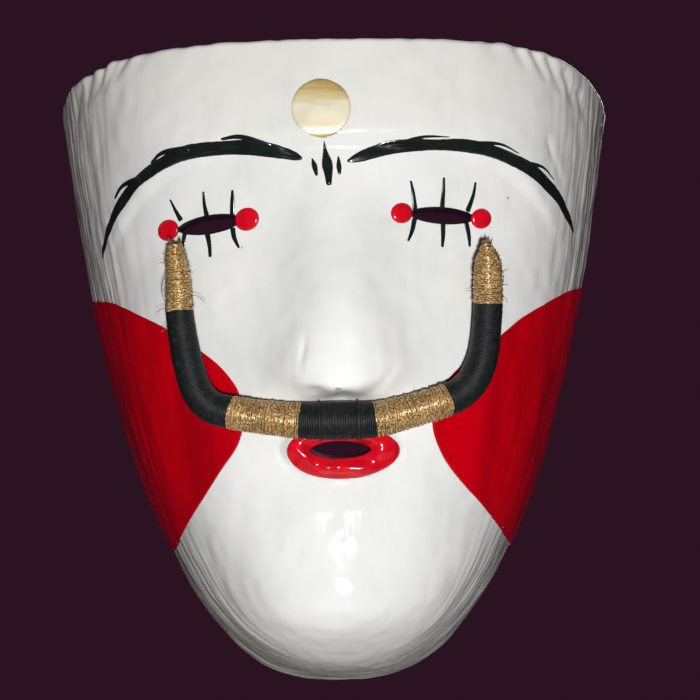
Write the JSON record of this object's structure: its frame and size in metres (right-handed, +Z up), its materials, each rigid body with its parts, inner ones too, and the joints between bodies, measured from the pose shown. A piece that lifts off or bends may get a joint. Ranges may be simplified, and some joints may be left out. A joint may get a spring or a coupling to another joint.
{
  "type": "dance mask",
  "caption": "Carved wooden face mask, hollow behind, with eye slits, a mouth slot and an upturned moustache of thread-bound fibre tied over the lips.",
  "frame": {"origin": "on the mid-plane, in the plane of the back rim, at the height of the eye slits, where the wearer's eyes are", "axes": "+Z up to the forehead, the face looks along -Y, +Y points back to the wearer, +X is the viewer's right"},
  "size_m": [0.1874, 0.0749, 0.2048],
  "materials": {
    "white_enamel": "gloss enamel on carved wood",
    "red_enamel": "gloss enamel",
    "black_enamel": "gloss enamel",
    "gold_paint": "brushed bronze paint",
    "soft_steel": "bare annealed wire",
    "plant_fibre": "coarse fibre",
    "black_thread": "tight thread winding",
    "gold_thread": "metallic thread winding",
    "waxed_thread": "waxed thread"
  },
  "bodies": {
    "root": {"mask_shell": "white_enamel", "moustache_wire": "soft_steel", "moustache_fibres": "plant_fibre", "winding_black_centre": "black_thread", "winding_gold_left": "gold_thread", "winding_gold_right": "gold_thread", "winding_black_left": "black_thread", "winding_black_right": "black_thread", "winding_gold_tip_left": "gold_thread", "winding_gold_tip_right": "gold_thread", "lashing_left": "waxed_thread", "lashing_right": "waxed_thread"}
  },
  "joints": []
}
